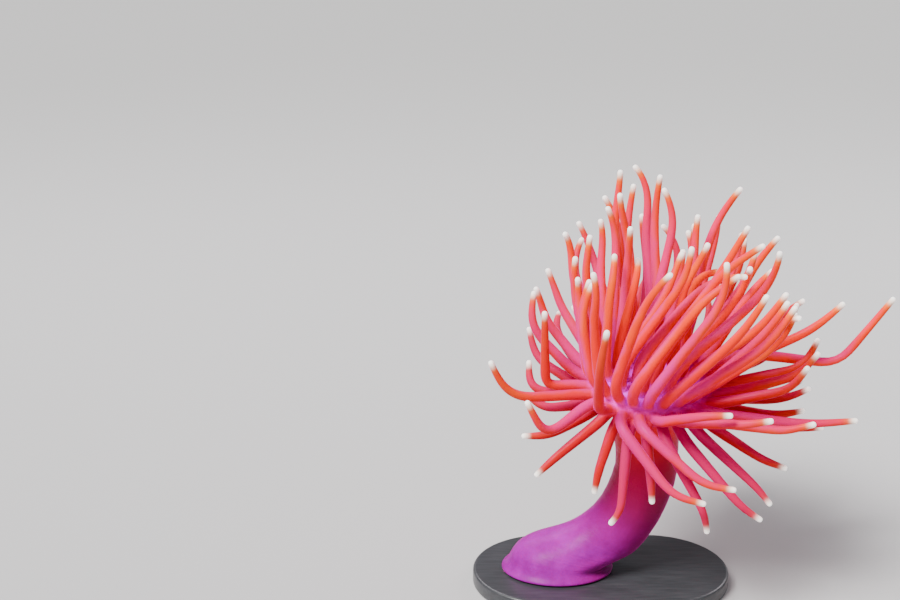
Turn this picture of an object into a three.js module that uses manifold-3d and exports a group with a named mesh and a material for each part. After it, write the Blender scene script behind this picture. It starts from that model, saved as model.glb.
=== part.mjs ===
// A sea anemone at life size: a still display model on a flat base.
//
// Millimetres, +Z up. The origin is the centre of the base's underside. The foot stands
// near the -X end of the base. The column creeps out of it towards +X and then rises, and
// the crown of tentacles opens on top. The crown nods a little towards -Y, the side that
// the animal is looked at from, and its tentacles lean towards +X as in a slow current.
//
// The tentacles stand in five rows on the rolled margin of the oral disc, in twelves and
// twenty-fours. Each centre line leaves the margin squarely, bends to the lie of its row
// and then to the lie of its tip. All of them then settle against each other until none
// touches, and round tapering bodies are laid along them. Three neighbours of a row and
// the stretch of margin that they grow from are one piece.
import * as THREE from 'three';
import { mergeVertices } from 'three/addons/utils/BufferGeometryUtils.js';
import Module from 'manifold-3d';

const wasm = await Module();
wasm.setup();

const { degToRad, radToDeg, clamp, lerp } = THREE.MathUtils;

// ---------------------------------------------------------------- driving dimensions

const SEAM = 0.3;                    // the thin cut between neighbouring pieces
const PLACES = 24;                   // places for tentacles round the crown
const STEP = 360 / PLACES;           // degrees between them

// display base: a flat plate with round ends
const BASE = { length: 100, width: 60, height: 6, edge: 1 };
const FLOOR = BASE.height + SEAM;    // the level that the foot stands on

// foot: an oval mound with a thin edge, given as shares of its reach and its rise
const FOOT_X = -17;
const FOOT = { length: 44, width: 36, rise: 5.5, sides: 20 };
const FOOT_PROFILE = [[0, 0], [1, 0], [1, 0.18], [0.9, 0.5], [0.66, 0.86], [0, 1]];

// column: its centre line from the foot, along X, aside along Y and up from the base, and
// its radius
const COLUMN_SIDES = 14;
const COLUMN = [
  { along: -21, aside: 0, up: -1, radius: 0 },
  { along: -19.5, aside: 0, up: -1, radius: 7.5 },
  { along: -14, aside: 0, up: 0, radius: 11.5 },
  { along: -4, aside: 0, up: 2, radius: 12.5 },
  { along: 8, aside: 0, up: 6, radius: 12.5 },
  { along: 20, aside: 0, up: 15, radius: 12 },
  { along: 28, aside: 0, up: 26, radius: 12 },
  { along: 33, aside: 0, up: 40, radius: 12 },
  { along: 33.5, aside: 0, up: 50, radius: 12 },
  { along: 33, aside: -0.7, up: 57, radius: 12.3 },
  { along: 33, aside: -1.5, up: 61.5, radius: 12.6 },
];
const COLUMN_CUTS = [0.40, 0.60, 0.80];   // where it is parted, as shares of its length

// crown: the oral disc inside its rolled margin; its heights are from the top of the roll,
// along an axis that nods from the column's end towards -Y
const TOP = COLUMN.at(-1);
const NECK = new THREE.Vector3(FOOT_X + TOP.along, TOP.aside, BASE.height + TOP.up);
const NECK_LENGTH = 22;
const NOD = degToRad(10);
const SIDEWAYS = new THREE.Vector3(1, 0, 0);
const CROWN = new THREE.Vector3(0, 0, NECK_LENGTH).applyAxisAngle(SIDEWAYS, NOD).add(NECK);
const ROLL = { ring: 15.4, radius: 6.4, corner: 6.53, core: 3.5 };
const SHELF = { inner: 10.7, outer: 13.9, top: 0.5, bottom: -2.8 };
const COLLAR = { neck: 12.6, flare: 13.6, flareUp: 4.3, brow: 15.6, browUp: 7.3 };
const CORE = { under: -70, shy: 2, outside: 25, inside: 105 };   // degrees round the roll
const DISC = {
  radius: 10.4, edge: -0.9, crest: 0.6, crestRadius: 6.2, well: 4.9, wellTop: 0.3, floor: -1.1, sides: 16,
};
const LIPS = { length: 8.6, width: 5.8, slit: 4.6, gape: 1.3, top: 2.0, bottom: -0.7, edge: 0.5 };

// tentacles: radius along the length, from the root to the tip
const TAPER = [
  { at: 0, radius: 2.1 },
  { at: 0.12, radius: 2.15 },
  { at: 0.45, radius: 1.9 },
  { at: 0.75, radius: 1.55 },
  { at: 0.93, radius: 1.2 },
  { at: 1, radius: 1.3 },
];
const SIDES = 5;
const CORNER = 1.08;                 // corners stand out by this, as the flats lie inside
const ROOT = { depth: 1.1, radius: 1.5 };   // the part inside the margin
const TIP_ROUND = 1.1;               // length of the rounded tip
const RING_RUN = 32;                 // a ring for each 32 mm that a tentacle runs
const RING_TURN = 48;                // and for each 48 degrees that it bends

// rows from the mouth outwards: how many, their first place in steps, their place round
// the roll in degrees and the stretch of it that carries them, the rise at which they
// leave it, the lean of the middle and the tip (outwards, up, with the current), length
const ROWS = [
  { count: 12, first: 0, rise: 86, length: 58,
    middle: [0.20, 0.80, 0.42], tip: [0.10, 0.85, 0.40] },
  { count: 12, first: 1, round: 80, carried: [64, 98], rise: 76, length: 60,
    middle: [0.38, 0.75, 0.42], tip: [0.12, 0.90, 0.38] },
  { count: 24, first: 0.5, round: 42, carried: [25, 60], rise: 46, length: 57,
    middle: [0.62, 0.70, 0.34], tip: [0.15, 0.95, 0.32] },
  { count: 24, first: 0, round: 5, carried: [-12, 21], rise: 8, length: 52,
    middle: [0.95, 0.30, 0.22], tip: [0.40, 0.85, 0.35] },
  { count: 24, first: 0.5, round: -32, carried: [-52, -15], rise: -30, length: 47,
    middle: [0.85, -0.20, 0.40], tip: [0.70, 0.20, 0.55] },
];
const RUN = 3;                       // tentacles on one stretch of the margin
const RUN_CUT = 0.5;                 // degrees cut from each end of a stretch

// tentacles that lie apart from their row: compass heading and rise of the middle and of
// the tip in degrees, length, and where along it and over how much of it they bend
const APART = [
  { row: 0, place: 2, middle: [40, 76], tip: [60, 84], length: 44, bend: 0.50, over: 0.40 },
  { row: 1, place: 10, middle: [346, 42], tip: [8, 58], length: 56, bend: 0.50, over: 0.40 },
  { row: 2, place: 0, middle: [-2, -7], tip: [16, 52], length: 86, bend: 0.57, over: 0.10 },
  { row: 2, place: 4, middle: [50, 64], tip: [84, 78], length: 52, bend: 0.50, over: 0.40 },
  { row: 2, place: 18, middle: [338, 52], tip: [10, 62], length: 66, bend: 0.55, over: 0.40 },
  { row: 2, place: 19, middle: [344, 44], tip: [14, 60], length: 64, bend: 0.55, over: 0.40 },
  { row: 2, place: 23, middle: [4, 24], tip: [14, 42], length: 60, bend: 0.55, over: 0.40 },
  { row: 3, place: 0, middle: [4, 16], tip: [14, 58], length: 48, bend: 0.60, over: 0.30 },
  { row: 3, place: 12, middle: [184, -2], tip: [160, 88], length: 48, bend: 0.28, over: 0.14 },
  { row: 3, place: 13, middle: [190, 2], tip: [170, 66], length: 48, bend: 0.42, over: 0.50 },
  { row: 3, place: 14, middle: [212, -24], tip: [170, 64], length: 40, bend: 0.42, over: 0.40 },
  { row: 3, place: 15, middle: [264, 64], tip: [330, 82], length: 52, bend: 0.50, over: 0.40 },
  { row: 3, place: 16, middle: [316, -36], tip: [345, -6], length: 52, bend: 0.62, over: 0.30 },
  { row: 3, place: 17, middle: [324, -28], tip: [345, 2], length: 50, bend: 0.60, over: 0.35 },
  { row: 3, place: 18, middle: [322, 28], tip: [350, 8], length: 36, bend: 0.55, over: 0.30 },
  { row: 3, place: 19, middle: [332, 14], tip: [350, 16], length: 42, bend: 0.60, over: 0.30 },
  { row: 3, place: 20, middle: [345, 0], tip: [352, 22], length: 50, bend: 0.65, over: 0.25 },
  { row: 3, place: 21, middle: [352, -3], tip: [356, 8], length: 60, bend: 0.50, over: 0.40 },
  { row: 3, place: 22, middle: [348, 20], tip: [0, 60], length: 44, bend: 0.60, over: 0.30 },
  { row: 3, place: 23, middle: [354, 20], tip: [8, 54], length: 46, bend: 0.60, over: 0.30 },
  { row: 4, place: 12, middle: [184, -4], tip: [150, 30], length: 28, bend: 0.50, over: 0.40 },
  { row: 4, place: 13, middle: [200, -20], tip: [180, 0], length: 32, bend: 0.50, over: 0.40 },
  { row: 4, place: 14, middle: [208, -28], tip: [204, -36], length: 36, bend: 0.50, over: 0.40 },
  { row: 4, place: 15, middle: [236, -54], tip: [236, -74], length: 30, bend: 0.50, over: 0.40 },
  { row: 4, place: 16, middle: [258, -66], tip: [196, -50], length: 40, bend: 0.74, over: 0.20 },
  { row: 4, place: 17, middle: [284, -64], tip: [284, -75], length: 30, bend: 0.60, over: 0.30 },
  { row: 4, place: 18, middle: [312, -46], tip: [300, -74], length: 44, bend: 0.70, over: 0.25 },
  { row: 4, place: 19, middle: [324, -38], tip: [340, -26], length: 48, bend: 0.70, over: 0.25 },
  { row: 4, place: 20, middle: [328, -32], tip: [330, -46], length: 44, bend: 0.70, over: 0.25 },
  { row: 4, place: 21, middle: [334, -24], tip: [344, -14], length: 39, bend: 0.60, over: 0.30 },
  { row: 4, place: 22, middle: [350, -4], tip: [354, 6], length: 46, bend: 0.60, over: 0.30 },
];

// the lie of the rest. Ways: outwards, up, with the current, aside. A side of the crown
// changes the lean of the middle and of the tip, and the length, of the rows from .. to
const LEANS = [
  { side: 'front', rows: [0, 2], middle: [-0.35, 0.05, 0.30], tip: [-0.10, 0, 0.25], longer: 0.22 },
  { side: 'back', rows: [0, 4], middle: [0, 0.60, -0.30], tip: [0, 0.30, -0.35], longer: 0.22 },
  { side: 'lee', rows: [0, 2], middle: [-0.18, -0.06, 0], tip: [0, -0.10, 0], longer: -0.12 },
  { side: 'lee', rows: [3, 4], middle: [0, -0.06, 0], tip: [0, 0.15, 0], longer: -0.12 },
  { side: 'weather', rows: [0, 1], middle: [0, 0.35, 0], tip: [0, 0, 0], longer: -0.16 },
  { side: 'weather', rows: [2, 3], middle: [0, 0.35, 0], tip: [0, 0, 0], longer: -0.28 },
  { side: 'weather', rows: [4, 4], middle: [0, 0, 0], tip: [0, 0, 0], longer: -0.28 },
];
const UP = new THREE.Vector3(0, 0, 1).applyAxisAngle(SIDEWAYS, -NOD);   // from the nodding crown
const CURRENT = new THREE.Vector3(0.98, 0.12, 0);
const FRONT_TURN = 8;                // degrees by which the front faces off -Y
const LEAVING = 0.28;                // share of the length over which they leave the margin

// how far tentacles stray from their row's lean, each way with its own uneven number
const STRAY = {
  middle: [{ by: 0.22, draw: 0 }, { by: 0.22, draw: 1 }, { by: 0.22, draw: 2 }, { by: 0.22, draw: 6 }],
  tip: [{ by: 0.22, draw: 3 }, { by: 0.286, draw: 4 }, { by: 0.22, draw: 5 }, { by: 0.396, draw: 7 }],
  length: { by: 0.1, draw: 9 },
};
const FLICK = { aside: 0.8, asideDraw: 11, up: 0.5, upDraw: 12, from: 0.72, over: 0.25 };
const BEND = { bend: 0.5, over: 0.4 };

// settling
const NODES = 16;                    // lengths that a centre line is worked out in
const CLEAR = 1.5;                   // the clear space that tentacles are moved apart to
const ROUNDS = 40;
const PUSH = 1.2;                    // how hard a touch moves a tentacle
const SPRING = 0.5;                  // how hard it keeps its own bend
const ROOTED = [1, 3];               // nodes that stay at the root, and that loosen after them

// ---------------------------------------------------------------- materials

const matt = (color, roughness) => new THREE.MeshStandardMaterial({ color, roughness, metalness: 0 });
const baseMaterial = matt(0x2b2d31, 0.6);
const columnMaterial = matt(0xb652b4, 0.5);
const discMaterial = matt(0xe25bc0, 0.45);
const lipsMaterial = matt(0xf08fd6, 0.4);
const tentacleMaterial = matt(0xf2603f, 0.4);

// ---------------------------------------------------------------- solids and meshes

// A three.js geometry as a solid that can be joined and cut.
function toSolid(geometry) {
  geometry.deleteAttribute('normal');
  geometry.deleteAttribute('uv');
  const merged = mergeVertices(geometry, 1e-4);
  return new wasm.Manifold(new wasm.Mesh({
    numProp: 3,
    vertProperties: new Float32Array(merged.attributes.position.array),
    triVerts: new Uint32Array(merged.index.array),
  }));
}

function toMesh(name, solid, material) {
  const { vertProperties, triVerts } = solid.getMesh();
  const geometry = new THREE.BufferGeometry();
  geometry.setAttribute('position', new THREE.BufferAttribute(new Float32Array(vertProperties), 3));
  geometry.setIndex(new THREE.BufferAttribute(new Uint32Array(triVerts), 1));
  geometry.computeVertexNormals();
  const mesh = new THREE.Mesh(geometry, material);
  mesh.name = name;
  return mesh;
}

// Moves every vertex of a geometry with a function that changes it in place.
function reshape(geometry, place) {
  const position = geometry.attributes.position;
  const vertex = new THREE.Vector3();
  for (let i = 0; i < position.count; i += 1) {
    place(vertex.fromBufferAttribute(position, i));
    position.setXYZ(i, vertex.x, vertex.y, vertex.z);
  }
  return geometry;
}

// A turned form, given as rings of { at, radius } along its length, laid along a curve.
function laidAlong(curve, rings, sides) {
  const FRAMES = 256;
  const frames = curve.computeFrenetFrames(FRAMES);
  const profile = rings.map(({ at, radius }) => new THREE.Vector2(radius, at));
  return reshape(new THREE.LatheGeometry(profile, sides), (vertex) => {
    const { x, y: at, z } = vertex;
    const frame = Math.round(at * FRAMES);
    curve.getPointAt(at, vertex);
    vertex.addScaledVector(frames.normals[frame], x);
    vertex.addScaledVector(frames.binormals[frame], -z);
  });
}

// Lays a point given from the crown's centre, square to its axis, in its place.
function onCrown(point) {
  return point.applyAxisAngle(SIDEWAYS, NOD).add(CROWN);
}

// A section of [distance from the crown's axis, height], swept round that axis between
// two compass angles in degrees.
function sweptRound(section, from, to) {
  const shape = new THREE.Shape(section.map(([r, z]) => new THREE.Vector2(r, z)));
  const steps = Math.round((to - from) / STEP);
  const straight = new THREE.ExtrudeGeometry(shape, { depth: to - from, steps, bevelEnabled: false });
  return reshape(straight, (vertex) => {
    const angle = degToRad(to - vertex.z);
    onCrown(vertex.set(vertex.x * Math.cos(angle), vertex.x * Math.sin(angle), vertex.y));
  });
}

// A full turn of such a section, which starts and ends on the axis.
function turned(section, sides) {
  const geometry = new THREE.LatheGeometry(section.map(([r, z]) => new THREE.Vector2(r, z)), sides);
  return reshape(geometry.rotateX(Math.PI / 2), onCrown);
}

// A point of the margin's section, at an angle round the roll.
function onRoll(radius, degrees) {
  const a = degToRad(degrees);
  return [ROLL.ring + radius * Math.cos(a), radius * Math.sin(a) - ROLL.radius];
}

// The radius at a share of the length, from a list of { at, radius }.
function radiusAt(list, share) {
  const k = clamp(list.findIndex(({ at }) => at >= share), 1, list.length - 1);
  const [a, b] = [list[k - 1], list[k]];
  return lerp(a.radius, b.radius, (share - a.at) / (b.at - a.at));
}

// ---------------------------------------------------------------- tentacles' centre lines

// An irregular number between -1 and 1, the same every time.
function uneven(i, k) {
  const v = Math.sin(i * 127.1 + k * 311.7) * 43758.5453;
  return (v - Math.floor(v)) * 2 - 1;
}

function towards(compass, rise) {
  const a = degToRad(compass);
  const e = degToRad(rise);
  return new THREE.Vector3(Math.cos(a) * Math.cos(e), Math.sin(a) * Math.cos(e), Math.sin(e));
}

function eased(t) {
  const c = clamp(t, 0, 1);
  return c * c * (3 - 2 * c);
}

// How a tentacle lies, from its row and its side of the crown.
function lieOf(row, compass, i) {
  const a = degToRad(compass);
  const aside = new THREE.Vector3(-Math.sin(a), Math.cos(a), 0);
  const ways = [towards(compass, 0), UP, CURRENT, aside];
  const share = {
    lee: Math.max(0, Math.cos(a)),
    weather: Math.max(0, -Math.cos(a)),
    front: Math.max(0, -Math.sin(a + degToRad(FRONT_TURN))) ** 2,
    back: Math.max(0, Math.sin(a)),
  };
  const stray = ({ by, draw }) => by * uneven(i, draw);
  const leans = LEANS.filter(({ rows: [from, to] }) => row >= from && row <= to);
  const leaning = (part) => ways.reduce((sum, way, k) => {
    const change = leans.reduce((total, lean) => total + share[lean.side] * (lean[part][k] ?? 0), 0);
    return sum.addScaledVector(way, (ROWS[row][part][k] ?? 0) + change + stray(STRAY[part][k]));
  }, new THREE.Vector3()).normalize();
  const growth = leans.reduce((total, lean) => total + share[lean.side] * lean.longer, 0);
  return {
    ...BEND,
    middle: leaning('middle'),
    tip: leaning('tip'),
    flick: aside.clone().multiplyScalar(FLICK.aside * uneven(i, FLICK.asideDraw))
      .addScaledVector(UP, FLICK.up * uneven(i, FLICK.upDraw)),
    length: ROWS[row].length * (1 + growth) * (1 + stray(STRAY.length)),
  };
}

function centreLine(row, place, i) {
  const { count, first, round, rise } = ROWS[row];
  const compass = (place * (PLACES / count) + first) * STEP;
  const onShelf = [(SHELF.inner + SHELF.outer) / 2, SHELF.top];
  const [reach, height] = round === undefined ? onShelf : onRoll(ROLL.radius, round);
  const leave = towards(compass, rise);

  const apart = APART.find((t) => t.row === row && t.place === place);
  const lie = apart
    ? { ...apart, middle: towards(...apart.middle), tip: towards(...apart.tip), flick: new THREE.Vector3() }
    : lieOf(row, compass, i);

  const point = towards(compass, 0).multiplyScalar(reach);
  point.z = height;
  const nodes = [point.clone()];
  for (let k = 0; k < NODES; k += 1) {
    const share = (k + 0.5) / NODES;
    const heading = leave.clone().lerp(lie.middle, eased(share / LEAVING)).normalize();
    heading.lerp(lie.tip, eased((share - lie.bend) / lie.over)).normalize();
    heading.addScaledVector(lie.flick, clamp((share - FLICK.from) / FLICK.over, 0, 1)).normalize();
    point.addScaledVector(heading, lie.length / NODES);
    nodes.push(point.clone());
  }
  return { row, place, leave, length: lie.length, nodes };
}

// Moves the centre lines apart until the tentacles are clear of each other. Each keeps its
// length, its root and, as far as it can, its own bend.
function settle(tentacles) {
  const radius = Array.from({ length: NODES + 1 }, (_, k) => radiusAt(TAPER, k / NODES));
  const loose = radius.map((_, k) => clamp((k - ROOTED[0]) / ROOTED[1], 0, 1));
  const inner = radius.map((_, k) => k).slice(1, -1);
  const bendAt = (nodes, k) => nodes[k - 1].clone().add(nodes[k + 1]).multiplyScalar(0.5).sub(nodes[k]);
  const ownBend = tentacles.map(({ nodes }) => inner.map((k) => bendAt(nodes, k)));
  const between = new THREE.Vector3();

  for (let round = 0; round < ROUNDS; round += 1) {
    const pushes = tentacles.map(({ nodes }) => nodes.map(() => ({ move: new THREE.Vector3(), count: 0 })));
    for (let a = 0; a < tentacles.length; a += 1) {
      for (let b = a + 1; b < tentacles.length; b += 1) {
        for (let k = 0; k <= NODES; k += 1) {
          for (let m = 0; m <= NODES; m += 1) {
            between.subVectors(tentacles[a].nodes[k], tentacles[b].nodes[m]);
            const distance = between.length();
            const wanted = radius[k] + radius[m] + CLEAR;
            if (distance < wanted) {
              between.multiplyScalar((0.5 * (wanted - distance)) / distance);
              pushes[a][k].move.add(between);
              pushes[a][k].count += 1;
              pushes[b][m].move.sub(between);
              pushes[b][m].count += 1;
            }
          }
        }
      }
    }
    tentacles.forEach(({ nodes, length }, t) => {
      nodes.forEach((node, k) => {
        const { move, count } = pushes[t][k];
        node.addScaledVector(move, (PUSH * loose[k]) / Math.max(1, count));
      });
      const stiffness = inner.map((k) => bendAt(nodes, k).sub(ownBend[t][k - 1]));
      inner.forEach((k) => nodes[k].addScaledVector(stiffness[k - 1], SPRING * loose[k]));
      for (let k = 1; k <= NODES; k += 1) {
        const reach = nodes[k].clone().sub(nodes[k - 1]).setLength(length / NODES);
        nodes[k].copy(nodes[k - 1]).add(reach);
      }
    });
  }
}

const tentacles = [];
ROWS.forEach(({ count }, row) => {
  for (let place = 0; place < count; place += 1) {
    tentacles.push(centreLine(row, place, tentacles.length));
  }
});
settle(tentacles);
tentacles.forEach(({ nodes, leave }) => {
  nodes.forEach(onCrown);
  leave.applyAxisAngle(SIDEWAYS, NOD);
});

// ---------------------------------------------------------------- base, foot and column

function standBase() {
  const half = BASE.width / 2 - BASE.edge;
  const reach = (BASE.length - BASE.width) / 2;
  const outline = new THREE.Shape();
  outline.absarc(reach, 0, half, -Math.PI / 2, Math.PI / 2, false);
  outline.absarc(-reach, 0, half, Math.PI / 2, (3 * Math.PI) / 2, false);
  const plate = new THREE.ExtrudeGeometry(outline, {
    depth: BASE.height - 2 * BASE.edge,
    bevelThickness: BASE.edge,
    bevelSize: BASE.edge,
    bevelSegments: 1,
    curveSegments: 7,
  });
  return toSolid(plate.translate(0, 0, BASE.edge));
}

// The mound of the foot, grown all over by an allowance.
function footMound(allowance) {
  const profile = FOOT_PROFILE.map(([r, z]) => new THREE.Vector2(r, z));
  const mound = new THREE.LatheGeometry(profile, FOOT.sides).rotateX(Math.PI / 2);
  mound.scale(FOOT.length / 2 + allowance, FOOT.width / 2 + allowance, FOOT.rise + allowance);
  return toSolid(mound.translate(FOOT_X, 0, FLOOR));
}

function aboveFloor() {
  const SPACE = 400;
  return toSolid(new THREE.BoxGeometry(SPACE, SPACE, SPACE).translate(0, 0, SPACE / 2 + FLOOR));
}

const columnCurve = new THREE.CatmullRomCurve3(
  COLUMN.map(({ along, aside, up }) => new THREE.Vector3(FOOT_X + along, aside, BASE.height + up)),
);
const columnLength = columnCurve.getLength();
const FINE = 20;
const columnLengths = columnCurve.getLengths(FINE * (COLUMN.length - 1));
const columnRings = COLUMN.map(({ radius }, k) => ({ at: columnLengths[FINE * k] / columnLength, radius }));

// The column between two shares of its length.
function columnPiece(from, to) {
  const rings = [
    { at: from, radius: 0 },
    { at: from, radius: radiusAt(columnRings, from) },
    ...columnRings.filter(({ at }) => at > from && at < to),
    { at: to, radius: radiusAt(columnRings, to) },
    { at: to, radius: 0 },
  ];
  const closed = rings.filter((ring, k) => k === 0 || ring.at > from || ring.radius > 0);
  return toSolid(laidAlong(columnCurve, closed, COLUMN_SIDES));
}

// ---------------------------------------------------------------- crown

// The collar widens from the column into the core of the rolled margin.
function collar() {
  const foot = SEAM - NECK_LENGTH;
  const top = SHELF.bottom - SEAM;
  const under = ROWS.at(-1).carried[0] - CORE.shy;
  return toSolid(turned([
    [0, foot],
    [COLLAR.neck, foot],
    [COLLAR.flare, foot + COLLAR.flareUp],
    [COLLAR.brow, foot + COLLAR.browUp],
    onRoll(ROLL.radius, CORE.under),
    onRoll(ROLL.radius, under),
    onRoll(ROLL.core, under),
    onRoll(ROLL.core, CORE.outside),
    onRoll(ROLL.core, CORE.inside),
    [SHELF.inner, top],
    [0, top],
  ], PLACES));
}

// The bare disc inside the first row, dished round the mouth.
function oralDisc() {
  return toSolid(turned([
    [0, SHELF.bottom],
    [DISC.radius, SHELF.bottom],
    [DISC.radius, DISC.edge],
    [DISC.crestRadius, DISC.crest],
    [DISC.well, DISC.wellTop],
    [DISC.well, DISC.floor],
    [0, DISC.floor],
  ], DISC.sides));
}

// The lips: an oval ring round the slit of the mouth.
function lips() {
  const { length, width, slit, gape, top, bottom, edge } = LIPS;
  const ring = new THREE.Shape();
  ring.absellipse(0, 0, length / 2 - edge, width / 2 - edge, 0, 2 * Math.PI, false);
  const opening = new THREE.Path();
  opening.absellipse(0, 0, slit / 2 + edge, gape / 2 + edge, 0, 2 * Math.PI, true);
  ring.holes.push(opening);
  const geometry = new THREE.ExtrudeGeometry(ring, {
    depth: top - bottom - 2 * edge,
    bevelThickness: edge,
    bevelSize: edge,
    bevelSegments: 1,
    curveSegments: 5,
  });
  return toSolid(reshape(geometry.translate(0, 0, bottom + edge), onCrown));
}

// Where a tentacle's rings go: the more it bends, the closer they stand.
function ringPlaces({ nodes, length }) {
  const spent = [0];
  for (let k = 1; k <= NODES; k += 1) {
    const ahead = nodes[k].clone().sub(nodes[k - 1]);
    const turn = k > 1 ? ahead.angleTo(nodes[k - 1].clone().sub(nodes[k - 2])) : 0;
    spent.push(spent[k - 1] + ahead.length() / RING_RUN + radToDeg(turn) / RING_TURN);
  }
  const lengths = Math.round(spent[NODES]);
  return Array.from({ length: lengths + 1 }, (_, n) => {
    const due = (n / lengths) * spent[NODES];
    const k = clamp(spent.findIndex((value) => value >= due), 1, NODES);
    return ((k - 1 + (due - spent[k - 1]) / (spent[k] - spent[k - 1])) / NODES) * length;
  });
}

// One tentacle: a tapering round body with a blunt tip, its root inside the margin.
function tentacle(path) {
  const { nodes, leave, length } = path;
  const inside = nodes[0].clone().addScaledVector(leave, -ROOT.depth);
  const curve = new THREE.CatmullRomCurve3([inside, ...nodes]);
  const whole = length + ROOT.depth;
  const rings = [{ at: 0, radius: 0 }, { at: 0, radius: ROOT.radius }];
  ringPlaces(path).forEach((place) => {
    const along = Math.min(place, length - TIP_ROUND);
    rings.push({ at: (along + ROOT.depth) / whole, radius: CORNER * radiusAt(TAPER, along / length) });
  });
  rings.push({ at: 1, radius: 0 });
  return toSolid(laidAlong(curve, rings, SIDES));
}

// The stretch of the margin that carries one run of a row. The first row stands on a
// shelf beside the roll, and the others on the roll itself.
function marginStretch({ carried }, from, to) {
  if (!carried) {
    const { inner, outer, top, bottom } = SHELF;
    return toSolid(sweptRound([[inner, bottom], [outer, bottom], [outer, top], [inner, top]], from, to));
  }
  const inner = ROLL.core + 2 * SEAM;
  const [low, high] = carried;
  return toSolid(sweptRound([
    onRoll(inner, low),
    onRoll(ROLL.corner, low),
    onRoll(ROLL.corner, high),
    onRoll(inner, high),
  ], from, to));
}

// ---------------------------------------------------------------- the model

const group = new THREE.Group();
group.name = 'sea_anemone';
group.add(toMesh('stand_base', standBase(), baseMaterial));

const [cutA, cutB, cutC] = COLUMN_CUTS;
const cut = SEAM / columnLength;
const foot = columnPiece(0, cutA).add(footMound(0)).intersect(aboveFloor());
const lower = columnPiece(cutA + cut, cutB).subtract(footMound(SEAM)).intersect(aboveFloor());
group.add(toMesh('pedal_disc', foot, columnMaterial));
group.add(toMesh('column_lower', lower, columnMaterial));
group.add(toMesh('column_middle', columnPiece(cutB + cut, cutC), columnMaterial));
group.add(toMesh('column_upper', columnPiece(cutC + cut, 1 - cut), columnMaterial));

group.add(toMesh('collar', collar(), columnMaterial));
group.add(toMesh('oral_disc', oralDisc(), discMaterial));
group.add(toMesh('lips', lips(), lipsMaterial));

ROWS.forEach((details, row) => {
  const spacing = 360 / details.count;
  for (let run = 0; run < details.count / RUN; run += 1) {
    const from = details.first * STEP + (run * RUN - 0.5) * spacing;
    const to = from + RUN * spacing;
    const grown = tentacles.filter((t) => t.row === row && Math.floor(t.place / RUN) === run);
    const piece = grown.reduce(
      (solid, path) => solid.add(tentacle(path)),
      marginStretch(details, from + RUN_CUT, to - RUN_CUT),
    );
    group.add(toMesh(`tentacles_row${row + 1}_run${run + 1}`, piece, tentacleMaterial));
  }
});

export default group;
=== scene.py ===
import math

import bmesh
import bpy
import numpy as np
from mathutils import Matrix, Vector
from mathutils.geometry import interpolate_bezier


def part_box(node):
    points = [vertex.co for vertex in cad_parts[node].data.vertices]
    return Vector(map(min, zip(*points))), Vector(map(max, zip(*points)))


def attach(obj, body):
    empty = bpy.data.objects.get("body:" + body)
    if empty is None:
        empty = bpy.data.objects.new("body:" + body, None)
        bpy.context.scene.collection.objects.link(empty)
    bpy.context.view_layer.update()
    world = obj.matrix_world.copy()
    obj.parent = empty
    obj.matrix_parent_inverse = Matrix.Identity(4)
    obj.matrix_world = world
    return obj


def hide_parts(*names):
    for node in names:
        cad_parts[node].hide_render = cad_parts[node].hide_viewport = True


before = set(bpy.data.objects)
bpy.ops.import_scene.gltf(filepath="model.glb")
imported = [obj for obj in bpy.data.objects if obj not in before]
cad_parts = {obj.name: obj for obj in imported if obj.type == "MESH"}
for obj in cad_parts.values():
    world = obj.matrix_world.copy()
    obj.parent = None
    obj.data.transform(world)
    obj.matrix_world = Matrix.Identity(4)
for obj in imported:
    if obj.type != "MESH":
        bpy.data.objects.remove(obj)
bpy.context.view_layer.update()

MM = 0.001

# ---------------------------------------------------------------- camera
# The crown stands to the right of the middle of the view and a little below it, seen from
# a little above through a long lens. It sits on top of the column, and nods a little
# towards the front. Sizes are in millimetres, and times MM in metres.
base_low, base_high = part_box("stand_base")
FOOT_X = -17.0
COLUMN_TOP = (33, -1.5, 61.5)         # along X, aside and up from the foot
NECK = np.array([FOOT_X, 0, base_high.z / MM]) + COLUMN_TOP
NOD = math.radians(10)
CROWN_ABOVE_NECK = 22.0
crown_mm = NECK + CROWN_ABOVE_NECK * np.array([0, -math.sin(NOD), math.cos(NOD)])
crown = Vector(crown_mm * MM)

LOOK_DOWN = math.radians(18)
LENS = 70
SENSOR_WIDTH = 36
CAMERA_DISTANCE = 656 * MM            # from the crown, along the view
CAMERA_LEFT = 75 * MM                 # and how far it stands off to the left and above
CAMERA_UP = 27.4 * MM
ahead = Vector((0, math.cos(LOOK_DOWN), -math.sin(LOOK_DOWN)))
upward = Vector((0, math.sin(LOOK_DOWN), math.cos(LOOK_DOWN)))
camera_data = bpy.data.cameras.new("camera")
camera_data.lens = LENS
camera_data.sensor_width = SENSOR_WIDTH
camera_data.clip_start = 0.01
camera = bpy.data.objects.new("camera", camera_data)
leftward = Vector((-1, 0, 0))
camera.location = crown - CAMERA_DISTANCE * ahead + CAMERA_LEFT * leftward + CAMERA_UP * upward
camera.rotation_euler = (math.pi / 2 - LOOK_DOWN, 0, 0)
bpy.context.scene.collection.objects.link(camera)
bpy.context.scene.camera = camera


# ---------------------------------------------------------------- display base
# A flat wooden plate with round ends and softened edges, lacquered charcoal. The foot
# stands on its upper side, near one end.
BASE_SOFTENED = 1.1 * MM
BASE_OUTLINE = 96                     # corners of its outline
DARK_LACQUER = (0.022, 0.023, 0.027, 1)
LIGHT_LACQUER = (0.050, 0.052, 0.058, 1)
GRAIN_SQUEEZE = (1, 9, 9)             # the grain runs along the plate
TINY = 1e-6                           # metres
SHARP = 1.0                           # radians between the faces at a rim
UPRIGHT = 0.999                       # faces that face straighter up or down are shaded flat


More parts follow.
